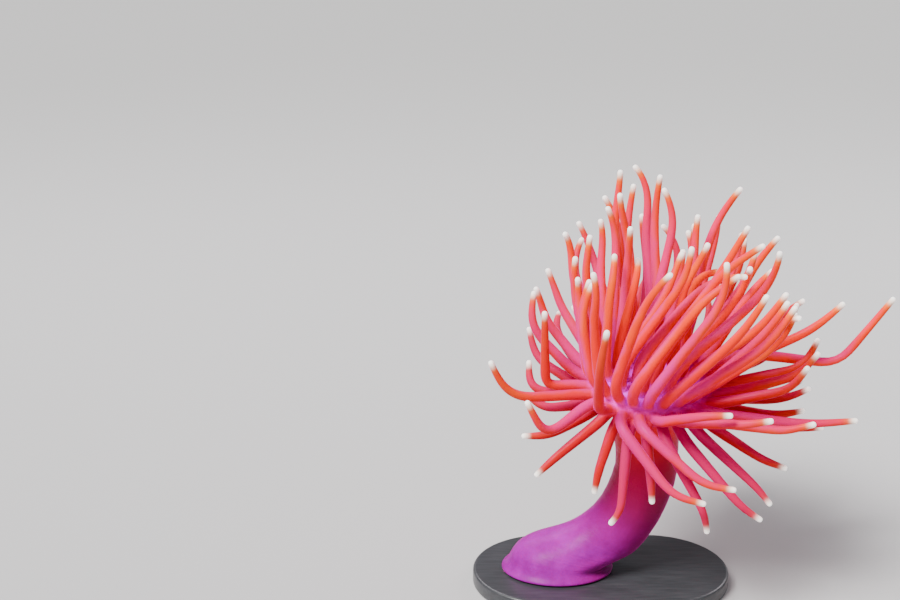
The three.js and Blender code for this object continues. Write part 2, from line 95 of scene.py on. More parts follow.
def new_piece(name, mesh_builder, material):
    """Turns a finished bmesh into a smooth-shaded piece of one material."""
    mesh = bpy.data.meshes.new(name)
    mesh_builder.to_mesh(mesh)
    mesh_builder.free()
    mesh.shade_smooth()
    mesh.materials.append(material)
    piece = bpy.data.objects.new(name, mesh)
    bpy.context.scene.collection.objects.link(piece)
    return piece


def new_material(name):
    """A node material, with its node tree and its principled shader."""
    material = bpy.data.materials.new(name)
    material.use_nodes = True
    nodes = material.node_tree.nodes
    return material, material.node_tree, nodes["Principled BSDF"]


def socket_value(node, **values):
    """Sets a node's sockets by name; underscores in a keyword stand for spaces."""
    for key, value in values.items():
        node.inputs[key.replace("_", " ")].default_value = value
    return node


lacquer, tree, shader = new_material("charcoal_lacquer")
socket_value(shader, Roughness=0.42, Coat_Weight=0.25, Coat_Roughness=0.2)
place = tree.nodes.new("ShaderNodeTexCoord")
squeeze = socket_value(tree.nodes.new("ShaderNodeMapping"), Scale=GRAIN_SQUEEZE)
grain = socket_value(tree.nodes.new("ShaderNodeTexNoise"), Scale=90.0, Detail=6.0, Roughness=0.6)
shade = tree.nodes.new("ShaderNodeValToRGB")
shade.color_ramp.elements[0].position = 0.3
shade.color_ramp.elements[0].color = DARK_LACQUER
shade.color_ramp.elements[1].position = 0.75
shade.color_ramp.elements[1].color = LIGHT_LACQUER
relief = socket_value(tree.nodes.new("ShaderNodeBump"), Strength=0.25, Distance=0.0002)
tree.links.new(place.outputs["Object"], squeeze.inputs["Vector"])
tree.links.new(squeeze.outputs["Vector"], grain.inputs["Vector"])
tree.links.new(grain.outputs["Fac"], shade.inputs["Fac"])
tree.links.new(grain.outputs["Fac"], relief.inputs["Height"])
tree.links.new(shade.outputs["Color"], shader.inputs["Base Color"])
tree.links.new(relief.outputs["Normal"], shader.inputs["Normal"])

plate = bmesh.new()
half_width = (base_high.y - base_low.y) / 2
half_straight = (base_high.x - base_low.x) / 2 - half_width
bmesh.ops.create_circle(plate, cap_ends=True, radius=half_width, segments=BASE_OUTLINE)
for vertex in plate.verts:
    if abs(vertex.co.x) > TINY:
        vertex.co.x += math.copysign(half_straight, vertex.co.x)
bmesh.ops.translate(plate, verts=plate.verts, vec=((base_low.x + base_high.x) / 2, 0, base_low.z))
rise = bmesh.ops.extrude_face_region(plate, geom=plate.faces[:])
raised = [item for item in rise["geom"] if isinstance(item, bmesh.types.BMVert)]
bmesh.ops.translate(plate, verts=raised, vec=(0, 0, base_high.z - base_low.z))
bmesh.ops.recalc_face_normals(plate, faces=plate.faces)
rims = [edge for edge in plate.edges if abs(edge.verts[0].co.z - edge.verts[1].co.z) < TINY]
rims = [edge for edge in rims if len(edge.link_faces) == 2 and edge.calc_face_angle() > SHARP]
bmesh.ops.bevel(plate, geom=rims, offset=BASE_SOFTENED, offset_type="OFFSET", segments=4,
                profile=0.5, affect="EDGES", material=-1)
stand_base = new_piece("display_base", plate, lacquer)
for face in stand_base.data.polygons:
    face.use_smooth = abs(face.normal.z) < UPRIGHT
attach(stand_base, "root")
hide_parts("stand_base")


# ---------------------------------------------------------------- lie of the tentacles
# Five rows of tentacles stand on the rolled margin of the disc. Each leaves the margin
# squarely, bends to its row's lean and then to its tip's, and all of them settle against
# each other so that none touches.
ROLL_RING = 15.4                      # from the crown's axis to the middle of the roll
ROLL_RADIUS = 6.4
SHELF_INNER, SHELF_OUTER, SHELF_TOP = 10.7, 13.9, 0.5    # the shelf inside the roll
SHELF_MIDDLE = (SHELF_INNER + SHELF_OUTER) / 2
PLACES = 24                           # places for tentacles round the crown
STEP = 360 / PLACES                   # degrees between them
NODES = 16                            # lengths that a centre line is worked out in
LEAVING = 0.28                        # share of the length over which they leave the margin
CLEAR = 1.5                           # the clear space that tentacles are moved apart to
ROUNDS = 40
PUSH = 1.2                            # how hard a touch moves a tentacle
SPRING = 0.5                          # how hard it keeps its own bend
ROOTED = (1, 3)                       # nodes that stay at the root, and that loosen after them
FRONT_TURN = math.radians(8)          # the angle by which the front faces off -Y
AXIS = np.array([0.0, 0.0, 1.0])
UP = np.array([0.0, math.sin(NOD), math.cos(NOD)])       # upright, seen from the nodding crown
CURRENT = np.array([0.98, 0.12, 0.0])


def on_roll(radius, degrees):
    """Distance from the crown's axis and height of a point round the rolled margin."""
    angle = math.radians(degrees)
    return ROLL_RING + radius * math.cos(angle), radius * math.sin(angle) - ROLL_RADIUS


# rows from the mouth outwards: how many, their first place in steps, where they root, the
# rise at which they leave, their length, and the lean of the middle and of the tip
# (outwards, up, with the current)
ROWS = [
    {"count": 12, "first": 0, "root": (SHELF_MIDDLE, SHELF_TOP), "rise": 86,
     "length": 58, "middle": (0.20, 0.80, 0.42), "tip": (0.10, 0.85, 0.40)},
    {"count": 12, "first": 1, "root": on_roll(ROLL_RADIUS, 80), "rise": 76,
     "length": 60, "middle": (0.38, 0.75, 0.42), "tip": (0.12, 0.90, 0.38)},
    {"count": 24, "first": 0.5, "root": on_roll(ROLL_RADIUS, 42), "rise": 46,
     "length": 57, "middle": (0.62, 0.70, 0.34), "tip": (0.15, 0.95, 0.32)},
    {"count": 24, "first": 0, "root": on_roll(ROLL_RADIUS, 5), "rise": 8,
     "length": 52, "middle": (0.95, 0.30, 0.22), "tip": (0.40, 0.85, 0.35)},
    {"count": 24, "first": 0.5, "root": on_roll(ROLL_RADIUS, -32), "rise": -30,
     "length": 47, "middle": (0.85, -0.20, 0.40), "tip": (0.70, 0.20, 0.55)},
]

# how a side of the crown changes its rows' lean at the middle and at the tip (outwards, up,
# with the current) and their length
LEANS = [
    ("front", (0, 1, 2), (-0.35, 0.05, 0.30), (-0.10, 0, 0.25), 0.22),
    ("back", (0, 1, 2, 3, 4), (0, 0.60, -0.30), (0, 0.30, -0.35), 0.22),
    ("lee", (0, 1, 2), (-0.18, -0.06, 0), (0, -0.10, 0), -0.12),
    ("lee", (3, 4), (0, -0.06, 0), (0, 0.15, 0), -0.12),
    ("weather", (0, 1), (0, 0.35, 0), (0, 0, 0), -0.16),
    ("weather", (2, 3), (0, 0.35, 0), (0, 0, 0), -0.28),
    ("weather", (4,), (0, 0, 0), (0, 0, 0), -0.28),
]

# how far each tentacle strays from its row, as (amount, draw): its lean (outwards, up, with
# the current, aside), its length, and the flick at its tip; and where that flick sets in
# and over how much of the length
MIDDLE_STRAY = ((0.22, 0), (0.22, 1), (0.22, 2), (0.22, 6))
TIP_STRAY = ((0.22, 3), (0.286, 4), (0.22, 5), (0.396, 7))
LENGTH_STRAY = (0.1, 9)
FLICK_ASIDE, FLICK_UP = (0.8, 11), (0.5, 12)
FLICK_FROM, FLICK_OVER = 0.72, 0.25
ROW_BEND, ROW_BEND_OVER = 0.5, 0.4    # where a row's tentacles bend, and over how much of it

# tentacles that lie apart from their row, by (row, place): heading and rise of the middle
# and of the tip in degrees, length, and where along it and over how much of it they bend
APART = {
    (0, 2): ((40, 76), (60, 84), 44, 0.50, 0.40),
    (1, 10): ((346, 42), (8, 58), 56, 0.50, 0.40),
    (2, 0): ((-2, -7), (16, 52), 86, 0.57, 0.10),
    (2, 4): ((50, 64), (84, 78), 52, 0.50, 0.40),
    (2, 18): ((338, 52), (10, 62), 66, 0.55, 0.40),
    (2, 19): ((344, 44), (14, 60), 64, 0.55, 0.40),
    (2, 23): ((4, 24), (14, 42), 60, 0.55, 0.40),
    (3, 0): ((4, 16), (14, 58), 48, 0.60, 0.30),
    (3, 12): ((184, -2), (160, 88), 48, 0.28, 0.14),
    (3, 13): ((190, 2), (170, 66), 48, 0.42, 0.50),
    (3, 14): ((212, -24), (170, 64), 40, 0.42, 0.40),
    (3, 15): ((264, 64), (330, 82), 52, 0.50, 0.40),
    (3, 16): ((316, -36), (345, -6), 52, 0.62, 0.30),
    (3, 17): ((324, -28), (345, 2), 50, 0.60, 0.35),
    (3, 18): ((322, 28), (350, 8), 36, 0.55, 0.30),
    (3, 19): ((332, 14), (350, 16), 42, 0.60, 0.30),
    (3, 20): ((345, 0), (352, 22), 50, 0.65, 0.25),
    (3, 21): ((352, -3), (356, 8), 60, 0.50, 0.40),
    (3, 22): ((348, 20), (0, 60), 44, 0.60, 0.30),
    (3, 23): ((354, 20), (8, 54), 46, 0.60, 0.30),
    (4, 12): ((184, -4), (150, 30), 28, 0.50, 0.40),
    (4, 13): ((200, -20), (180, 0), 32, 0.50, 0.40),
    (4, 14): ((208, -28), (204, -36), 36, 0.50, 0.40),
    (4, 15): ((236, -54), (236, -74), 30, 0.50, 0.40),
    (4, 16): ((258, -66), (196, -50), 40, 0.74, 0.20),
    (4, 17): ((284, -64), (284, -75), 30, 0.60, 0.30),
    (4, 18): ((312, -46), (300, -74), 44, 0.70, 0.25),
    (4, 19): ((324, -38), (340, -26), 48, 0.70, 0.25),
    (4, 20): ((328, -32), (330, -46), 44, 0.70, 0.25),
    (4, 21): ((334, -24), (344, -14), 39, 0.60, 0.30),
    (4, 22): ((350, -4), (354, 6), 46, 0.60, 0.30),
}

# their radius, by the share of the length
TAPER_AT = (0, 0.12, 0.45, 0.75, 0.93, 1)
TAPER_RADIUS = (2.1, 2.15, 1.9, 1.55, 1.2, 1.3)


def uneven(i, k):
    """An irregular number between -1 and 1, the same every time."""
    value = math.sin(i * 127.1 + k * 311.7) * 43758.5453
    return (value - math.floor(value)) * 2 - 1


def strayed(i, amount, draw):
    """An irregular number of at most this amount either way; each use has its own draw."""
    return amount * uneven(i, draw)


def unit(vectors):
    """The vectors, each made one long."""
    return vectors / np.linalg.norm(vectors, axis=-1, keepdims=True)


def towards(compass, rise):
    """The direction with this compass heading and rise, in degrees."""
    a, e = math.radians(compass), math.radians(rise)
    return np.array([math.cos(a) * math.cos(e), math.sin(a) * math.cos(e), math.sin(e)])


def compass_of(row, place):
    """The compass heading, in degrees, at which a tentacle stands round the crown."""
    return (place * (PLACES / ROWS[row]["count"]) + ROWS[row]["first"]) * STEP


def eased(t):
    """A share from 0 to 1 that starts and ends gently."""
    t = min(1.0, max(0.0, t))
    return t * t * (3 - 2 * t)


def lie_of(row, compass, i):
    """Middle, tip, flick, length, bend and its span for a tentacle that follows its row."""
    a = math.radians(compass)
    aside = np.array([-math.sin(a), math.cos(a), 0.0])
    ways = np.array([towards(compass, 0), UP, CURRENT, aside])
    share = {
        "front": max(0, -math.sin(a + FRONT_TURN)) ** 2,
        "back": max(0, math.sin(a)),
        "lee": max(0, math.cos(a)),
        "weather": max(0, -math.cos(a)),
    }
    middle, tip = np.array([*ROWS[row]["middle"], 0]), np.array([*ROWS[row]["tip"], 0])
    longer = 1.0
    for side, rows, middle_change, tip_change, growth in LEANS:
        if row in rows:
            middle = middle + share[side] * np.array([*middle_change, 0])
            tip = tip + share[side] * np.array([*tip_change, 0])
            longer += share[side] * growth
    middle = middle + [strayed(i, *each) for each in MIDDLE_STRAY]
    tip = tip + [strayed(i, *each) for each in TIP_STRAY]
    flick = strayed(i, *FLICK_ASIDE) * aside + strayed(i, *FLICK_UP) * UP
    length = ROWS[row]["length"] * longer * (1 + strayed(i, *LENGTH_STRAY))
    return unit(middle @ ways), unit(tip @ ways), flick, length, ROW_BEND, ROW_BEND_OVER


def centre_line(row, place, i):
    """The nodes of one tentacle's centre line before settling, and its length."""
    details = ROWS[row]
    compass = compass_of(row, place)
    leave = towards(compass, details["rise"])
    if (row, place) in APART:
        middle, tip, length, bend, over = APART[row, place]
        middle, tip, flick = towards(*middle), towards(*tip), np.zeros(3)
    else:
        middle, tip, flick, length, bend, over = lie_of(row, compass, i)
    reach, height = details["root"]
    nodes = [reach * towards(compass, 0) + height * AXIS]
    for k in range(NODES):
        share = (k + 0.5) / NODES
        t = eased(share / LEAVING)
        heading = unit(leave * (1 - t) + middle * t)
        t = eased((share - bend) / over)
        heading = unit(heading * (1 - t) + tip * t)
        heading = unit(heading + flick * min(1, max(0, (share - FLICK_FROM) / FLICK_OVER)))
        nodes.append(nodes[-1] + heading * length / NODES)
    return nodes, length


def settled(lines, lengths):
    """Moves the centre lines apart until the tentacles are clear of each other."""
    radius = np.tile(np.interp(np.arange(NODES + 1) / NODES, TAPER_AT, TAPER_RADIUS), len(lines))
    owner = np.repeat(np.arange(len(lines)), NODES + 1)
    wanted = radius[:, None] + radius[None, :] + CLEAR
    others = owner[:, None] != owner[None, :]
    loose = np.clip((np.arange(NODES + 1) - ROOTED[0]) / ROOTED[1], 0, 1)[None, :, None]
    own_bend = (lines[:, :-2] + lines[:, 2:]) / 2 - lines[:, 1:-1]
    step = (lengths / NODES)[:, None]
    for _ in range(ROUNDS):
        nodes = lines.reshape(-1, 3)
        square = (nodes ** 2).sum(1)
        apart = square[:, None] + square[None, :] - 2 * nodes @ nodes.T
        near, other = np.nonzero((apart < wanted ** 2) & others)
        between = nodes[near] - nodes[other]
        distance = np.linalg.norm(between, axis=1)
        push = between * ((wanted[near, other] - distance) / 2 / distance)[:, None]
        move, count = np.zeros_like(nodes), np.zeros(len(nodes))
        np.add.at(move, near, push)
        np.add.at(count, near, 1)
        move /= np.maximum(count, 1)[:, None]
        lines = lines + PUSH * loose * move.reshape(lines.shape)
        stiff = (lines[:, :-2] + lines[:, 2:]) / 2 - lines[:, 1:-1] - own_bend
        lines[:, 1:-1] += SPRING * loose[:, 1:-1] * stiff
        for k in range(1, NODES + 1):
            lines[:, k] = lines[:, k - 1] + step * unit(lines[:, k] - lines[:, k - 1])
    return lines


def nodded(points):
    """Points given from the crown's centre, square to its axis, laid in their place."""
    y, z = points[..., 1], points[..., 2]
    back, up = y * math.cos(NOD) - z * math.sin(NOD), y * math.sin(NOD) + z * math.cos(NOD)
    return crown_mm + np.stack([points[..., 0], back, up], axis=-1)


roots = [(row, place) for row, details in enumerate(ROWS) for place in range(details["count"])]
drawn = [centre_line(row, place, i) for i, (row, place) in enumerate(roots)]
lengths = np.array([length for _, length in drawn])
lines = nodded(settled(np.array([nodes for nodes, _ in drawn]), lengths))


# ---------------------------------------------------------------- body skin
# One unbroken skin covers foot, column, collar, margin, disc and lips. It is spun as a
# plain ladder of rings, and each ring is then laid in its place: an oval foot on the
# base, round sections along the bent column, then the turned form of the crown.
MERIDIANS = 48
angles = np.arange(MERIDIANS) * 2 * math.pi / MERIDIANS
across, along_y = np.cos(angles)[:, None], np.sin(angles)[:, None]
SEAM = 0.3                            # the thin gap between the base and the foot
FLOOR = base_high.z / MM + SEAM       # the level that the foot stands on
COLUMN = [                            # along X, aside and up from the foot, and radius
    (-21, 0, -1, 0), (-19.5, 0, -1, 7.5), (-14, 0, 0, 11.5), (-4, 0, 2, 12.5), (8, 0, 6, 12.5),
    (20, 0, 15, 12), (28, 0, 26, 12), (33, 0, 40, 12), (33.5, 0, 50, 12),
    (33, -0.7, 57, 12.3), (*COLUMN_TOP, 12.6),
]
CURVE_POINTS = 13                     # points on the curve from one knot of it to the next
HANDLES = 6                           # handle lengths between the two neighbours of a knot
WRINKLE = (0.008, 3)                  # how far a ring's radius strays, as (amount, draw)
COLUMN_RINGS = 24
COLUMN_FREE = 0.50                    # share of the column's length where it is clear of the foot

# the foot: half its length and width, then its rings as (share of these, height), and the
# rim from which the skin rises into the column
FOOT_REACH = (22.0, 18.0)
FOOT_EDGE = ((0, 0), (0.5, 0), (0.93, 0), (1.0, 0.35), (0.985, 1.1), (0.93, 2.0))
RIM = (0.88, 3.2)
FOOT_RINGS = 9
UNDERSIDE = 0.4                       # share of the column that counts as its underside
FLARE, DRAWN_IN = 1.6, 0.25           # the skin flares under the column and is drawn in above it
RISE, RISE_ABOVE, RISE_LESS_BELOW = 3.5, 10.5, 1.7       # how stiffly it leaves the rim
CREEP, CREEP_ABOVE = 3.0, 15.0        # and how stiffly it runs into the column

# the crown: (radius, height) of the collar's and the lips' rings, with the depth of the
# furrows for the disc's, and the places of the margin's rings round the roll, in degrees
COLLAR_RINGS = ((12.75, -20.2), (13.2, -18.6), (14.0, -16.6), (15.4, -14.5), (17.4, -12.6))
MARGIN_RINGS = (-51, -32, -13.5, 5, 23.5, 42, 61, 80, 99)
SHELF_EDGE = (SHELF_INNER, 0.3)
DISC_RINGS = ((9.6, -0.2, 0.7), (8.2, 0.1, 1.0), (6.8, 0.5, 0.8), (5.6, 0.5, 0.4))
FURROWS, FURROW = 24, 0.35
LIP_RINGS = (
    (4.7, 0.4), (4.2, 1.3), (3.5, 1.9), (2.8, 1.9), (2.3, 1.4), (1.8, 0.4), (1.5, -0.8), (0, -1.2),
)
OVAL_FROM, OVAL_OVER = 5.6, 2.5       # the radius where rings start to turn oval, and how fast
LONGER, NARROWER = 0.30, 0.62         # how oval they get
SLIT = 2.5                            # rings wider than the slit are narrowed half as much

# how high up the animal a ring is, for its colour, from the foot to the disc; over the
# margin it goes from one value to the next between these degrees
HEIGHT = {"foot": 0.0, "free": 0.45, "neck": 0.90, "collar": 0.93, "margin": 0.94, "disc": 1.0}
MARGIN_BLEND = (-32, 42)


def foot_ring(share, height):
    """An oval ring round the foot."""
    return np.hstack([
        FOOT_X + share * FOOT_REACH[0] * across,
        share * FOOT_REACH[1] * along_y,
        np.full((MERIDIANS, 1), FLOOR + height),
    ])


def crown_ring(radius, height):
    """A round ring about the crown's axis, from its centre."""
    return np.hstack([radius * across, radius * along_y, np.full((MERIDIANS, 1), height)])


# the column's centre line: a smooth curve through its knots
knots = [Vector((FOOT_X + along, aside, base_high.z / MM + up)) for along, aside, up, _ in COLUMN]
ends = [knots[0] * 2 - knots[1], *knots, knots[-1] * 2 - knots[-2]]
axis, axis_radius = [], []
for k in range(len(knots) - 1):
    here, there = knots[k], knots[k + 1]
    lead = (ends[k + 2] - ends[k]) / HANDLES
    trail = (ends[k + 3] - ends[k + 1]) / HANDLES
    stretch = interpolate_bezier(here, here + lead, there - trail, there, CURVE_POINTS)
    axis += [tuple(point) for point in stretch[:-1]]
    axis_radius += list(np.linspace(COLUMN[k][3], COLUMN[k + 1][3], CURVE_POINTS)[:-1])
axis = np.array(axis + [tuple(knots[-1])])
axis_radius = np.array(axis_radius + [COLUMN[-1][3]])
axis_run = np.concatenate([[0], np.cumsum(np.linalg.norm(np.diff(axis, axis=0), axis=1))])
axis_share = axis_run / axis_run[-1]
axis_way = unit(np.gradient(axis, axis_run, axis=0))


def column_ring(share, fullness=1.0):
    """A round section of the bent column and the way that it faces."""
    centre = np.array([np.interp(share, axis_share, axis[:, k]) for k in range(3)])
    way = unit(np.array([np.interp(share, axis_share, axis_way[:, k]) for k in range(3)]))
    radius = np.interp(share, axis_share, axis_radius) * fullness
    sideways = unit(np.array([1.0, 0, 0]) - way * way[0])
    return centre + radius * (across * sideways + along_y * np.cross(way, sideways)), way


rings, heights = [], []


def add_ring(points, height):
    """Adds the next ring of the skin, with its height up the animal."""
    rings.append(points)
    heights.append(height)


# the foot's edge, and from its rim a smooth rise into the column
for share, height in FOOT_EDGE:
    add_ring(foot_ring(share, height), HEIGHT["foot"])
rim = foot_ring(*RIM)
free, free_way = column_ring(COLUMN_FREE)
topside = (1 - across) / 2
underside = np.clip(1 - topside / UNDERSIDE, 0, 1)
flare = FLARE * underside - DRAWN_IN
rising = np.hstack([across * flare, along_y * flare, np.ones((MERIDIANS, 1))])
rise_handle = rim + rising * (RISE + RISE_ABOVE * topside - RISE_LESS_BELOW * underside)
creep_handle = free - free_way * (CREEP + CREEP_ABOVE * topside)
for k in range(FOOT_RINGS):
    t = k / FOOT_RINGS
    point = (1 - t) ** 3 * rim + 3 * (1 - t) ** 2 * t * rise_handle
    point = point + 3 * (1 - t) * t ** 2 * creep_handle + t ** 3 * free
    add_ring(point, HEIGHT["free"] * t)
for k in range(COLUMN_RINGS + 1):
    t = k / COLUMN_RINGS
    share = COLUMN_FREE + (1 - COLUMN_FREE) * t
    fullness = 1 + strayed(k, *WRINKLE)
    add_ring(column_ring(share, fullness)[0], HEIGHT["free"] + (HEIGHT["neck"] - HEIGHT["free"]) * t)

# collar, rolled margin, shelf, furrowed disc, and lips round the slit of the mouth
for radius, height in COLLAR_RINGS:
    add_ring(nodded(crown_ring(radius, height)), HEIGHT["collar"])
for degrees in MARGIN_RINGS:
    height = np.interp(degrees, MARGIN_BLEND, (HEIGHT["margin"], HEIGHT["disc"]))
    add_ring(nodded(crown_ring(*on_roll(ROLL_RADIUS, degrees))), height)
shelf_ring = len(rings)
add_ring(nodded(crown_ring(SHELF_MIDDLE, SHELF_TOP)), HEIGHT["disc"])
add_ring(nodded(crown_ring(*SHELF_EDGE)), HEIGHT["disc"])
furrow = FURROW * np.cos(angles * FURROWS)
for radius, height, depth in DISC_RINGS:
    ring = crown_ring(radius, height)
    ring[:, 2] += depth * furrow
    add_ring(nodded(ring), HEIGHT["disc"])
for radius, height in LIP_RINGS:
    ring = crown_ring(radius, height)
    oval = eased((OVAL_FROM - radius) / OVAL_OVER)
    narrower = NARROWER * oval * (0.5 if radius > SLIT else 1)
    ring *= (1 + LONGER * oval, 1 - narrower, 1)
    add_ring(nodded(ring), HEIGHT["disc"])

# the ladder, spun and then laid ring by ring
POLE = 1e-4                           # a corner this close to the axis is at a pole
skin = bmesh.new()
ring_of = skin.verts.layers.int.new("ring")
height_of = skin.verts.layers.float.new("body_height")
along_of = skin.verts.layers.float.new("along")
tint_of = skin.verts.layers.float.new("tint")
owner_of = skin.verts.layers.int.new("owner")
spoke_of = skin.verts.layers.int.new("spoke")
lit_and_mouth_side_of = skin.verts.layers.float.new("lit_and_mouth_side")
tip_of = skin.verts.layers.float.new("to_tip")
low_of = skin.verts.layers.float.new("low")
ladder = [skin.verts.new((1, 0, k)) for k in range(len(rings))]
ladder[0].co.x = ladder[-1].co.x = 0
for k, vertex in enumerate(ladder):
    vertex[ring_of] = k
    vertex[height_of] = heights[k]
rungs = [skin.edges.new(pair) for pair in zip(ladder, ladder[1:])]
bmesh.ops.spin(skin, geom=ladder + rungs, cent=(0, 0, 0), axis=(0, 0, 1), angle=2 * math.pi,
               steps=MERIDIANS, use_merge=True)
poles = [vertex for vertex in skin.verts if abs(vertex.co.x) + abs(vertex.co.y) < POLE]
bmesh.ops.remove_doubles(skin, verts=poles, dist=POLE)
grid = {}
for vertex in skin.verts:
    meridian = round(math.atan2(vertex.co.y, vertex.co.x) / (2 * math.pi) * MERIDIANS) % MERIDIANS
    grid[vertex[ring_of], meridian] = vertex
for (ring, meridian), vertex in grid.items():
    vertex.co = rings[ring][meridian] * MM
    # on the body this is the column's upper side, shown lit; its underside gets painted shade
    vertex[lit_and_mouth_side_of] = topside[meridian, 0]
bmesh.ops.recalc_face_normals(skin, faces=skin.faces)


# ---------------------------------------------------------------- tentacle skin
# Each tentacle is drawn out of its own patch of the margin, ring after ring, so that skin
# runs on from the margin to the tips. Four faces round a place become one patch, the
# patch is drawn in at its edges, and the patches are then pulled along the centre lines.
PATCH_EDGE = 0.45 * MM
SIDES = 8
CAGE = 1 / 0.902                      # smoothing draws a ring in to 0.902 of its cage
FIRST_RING = 0.9                      # above the margin
LENGTH_RINGS = 13
LAST_LENGTH_RING = 4.5                # from the tip
TIP_RINGS = ((2.3, 1.10), (1.1, 1.14), (0.35, 0.90), (0.0, 0.42))   # from the tip, radius
WAY_REACH = 1.2                       # a ring faces the way of this much line on either side
SWELL = 0.025                         # how far a ring's radius strays
SWELL_DRAW = 40                       # the first ring's draw; each ring has the next
TINT_DRAW = 21
# painted light: a tentacle's pink side stands partly for light from above on the left and behind,
# and faces that way; it is turned partly towards the mouth, whose side is pinker of itself
PAINTED_LIGHT_WAY = towards(165, 40)          # the pink side of a tentacle faces this way, and is
MOUTH_SHARE = 0.35                    # turned by this share towards the mouth
# the low rows get painted shade, for the crown's shade over them
LOWNESS = (0, 0, 0, 0.5, 1)           # how low each row hangs, for its colour

# from the shelf outwards, every second ring carries a row
centres = []
for row, place in roots:
    ring = shelf_ring - 2 * row
    centres.append(grid[ring, round(compass_of(row, place) / 360 * MERIDIANS) % MERIDIANS])
root_points = [vertex.co.copy() for vertex in centres]
bmesh.ops.dissolve_verts(skin, verts=centres)
patches = {}
for face in skin.faces:
    if len(face.verts) == SIDES:
        middle = face.calc_center_median()
        nearest = min(range(len(roots)), key=lambda i: (root_points[i] - middle).length_squared)
        patches[nearest] = face
patches = [patches[i] for i in range(len(roots))]
bmesh.ops.inset_individual(skin, faces=patches, thickness=PATCH_EDGE, use_even_offset=True)
for i, face in enumerate(patches):
    for spoke, vertex in enumerate(face.verts):
        vertex[owner_of] = i
        vertex[spoke_of] = spoke


def line_at(share):
    """A point of every centre line at a share of its length, or one share for each."""
    spots = np.clip(share, 0, 1) * NODES
    before = np.minimum(spots.astype(int), NODES - 1)
    rows = np.arange(len(lines))
    t = (spots - before)[:, None]
    return lines[rows, before] * (1 - t) + lines[rows, before + 1] * t


def turned_to(offsets, old_way, new_way):
    """Turns the offsets of a ring by the shortest turn from one way to another."""
    hinge = np.cross(old_way, new_way)[:, None, :]
    lean = (old_way * new_way).sum(1)[:, None, None]
    first = np.cross(hinge, offsets)
    return offsets + first + np.cross(hinge, first) / (1 + lean)


skin.normal_update()
way = np.array([tuple(face.normal) for face in patches])
around = np.array([
    [tuple(vertex.co - face.calc_center_median()) for vertex in face.verts] for face in patches])
first = unit(around[:, 0] - way * (around[:, 0] * way).sum(1)[:, None])
second = np.cross(way, first)
clock = np.arctan2((around * second[:, None]).sum(2), (around * first[:, None]).sum(2))
even = np.arange(SIDES) * 2 * math.pi / SIDES
lag = np.angle(np.exp(1j * (clock - even)).mean(1))[:, None]
turned = (even + lag)[..., None]
offsets = np.cos(turned) * first[:, None] + np.sin(turned) * second[:, None]
oral_way = []
for row, place in roots:
    oral_way.append(towards(compass_of(row, place), ROWS[row]["rise"] + 90))
oral_way = nodded(np.array(oral_way)) - crown_mm
oral_way = unit(oral_way - way * (oral_way * way).sum(1)[:, None])[:, None]

# where each ring of a tentacle goes, as shares of the lengths, and its radius
start = FIRST_RING / lengths
stop = 1 - LAST_LENGTH_RING / lengths
plan = [(start, np.full(len(lines), TAPER_RADIUS[0]))]
for k in range(1, LENGTH_RINGS + 1):
    share = start + (stop - start) * k / LENGTH_RINGS
    plan.append((share, np.interp(share, TAPER_AT, TAPER_RADIUS)))
for back, radius in TIP_RINGS:
    plan.append((1 - back / lengths, np.full(len(lines), radius)))

tints = [uneven(i, TINT_DRAW) for i in range(len(roots))]
for number, (share, radius) in enumerate(plan):
    here = line_at(share)
    reach = WAY_REACH / lengths
    new_way = unit(line_at(share + reach) - line_at(share - reach))
    offsets = turned_to(offsets, way, new_way)
    oral_way = turned_to(oral_way, way, new_way)
    way = new_way
    # the pink side: partly painted light from above on the left and behind, partly the mouth side
    lit_and_mouth_way = MOUTH_SHARE * oral_way + PAINTED_LIGHT_WAY
    lit_and_mouth_way = unit(lit_and_mouth_way - way[:, None] * (lit_and_mouth_way * way[:, None]).sum(2)[..., None])
    lit_and_mouth_side = 0.5 + 0.5 * (offsets * lit_and_mouth_way).sum(2)
    swell = 1 + np.array([strayed(i, SWELL, SWELL_DRAW + number) for i in range(len(roots))])
    points = here[:, None] + offsets * (radius * swell * CAGE)[:, None, None]
    drawn_out = bmesh.ops.extrude_discrete_faces(skin, faces=patches)["faces"]
    for face in drawn_out:
        for vertex in face.verts:
            i = vertex[owner_of]
            vertex.co = points[i, vertex[spoke_of]] * MM
            vertex[along_of] = share[i]
            vertex[tip_of] = (1 - share[i]) * lengths[i]
            vertex[tint_of] = tints[i]
            vertex[low_of] = LOWNESS[roots[i][0]]
            vertex[lit_and_mouth_side_of] = lit_and_mouth_side[i, vertex[spoke_of]]
    patches = drawn_out


# ---------------------------------------------------------------- finish of the skin
# Wet translucent flesh. The tentacles run from crimson through orange to cream tips. They are
# pinker on one side, which is partly the mouth side and partly painted light from above on the
# left and behind, and deeper red low on the crown, which is painted shade. The finely wrinkled
# column is violet at the foot, dark red in the middle and bright red under the crown, partly its
# own colour and partly painted shade and a painted reflection of the tentacles; its underside is
# darker, which is painted shade. The disc is magenta.
flesh, tree, shader = new_material("wet_flesh")
MIX_FIRST, MIX_SECOND, MIX_RESULT = 6, 7, 2     # the colour sockets of a Mix node
TINT_REACH = 0.35                     # how much pinker or less pink one tentacle may be
PATCH_REACH = 0.22                    # and one patch of it
# painted shade on the low rows, by this share
LOW_SHADE_SHARE = 0.80                     # how much of a low tentacle is the deeper colour
CLOUD_SHARE = 0.42                    # how cloudy the foot is; higher up it is clear
NOT_A_TIP = 20.0                      # added to the body's distance to a tip, which reads 0
WRINKLES_UP = (15, 0, 0)              # how much the height shifts the wrinkles' noise


def node(kind, **values):
    """A new node of the flesh, with its sockets set."""
    return socket_value(tree.nodes.new(kind), **values)


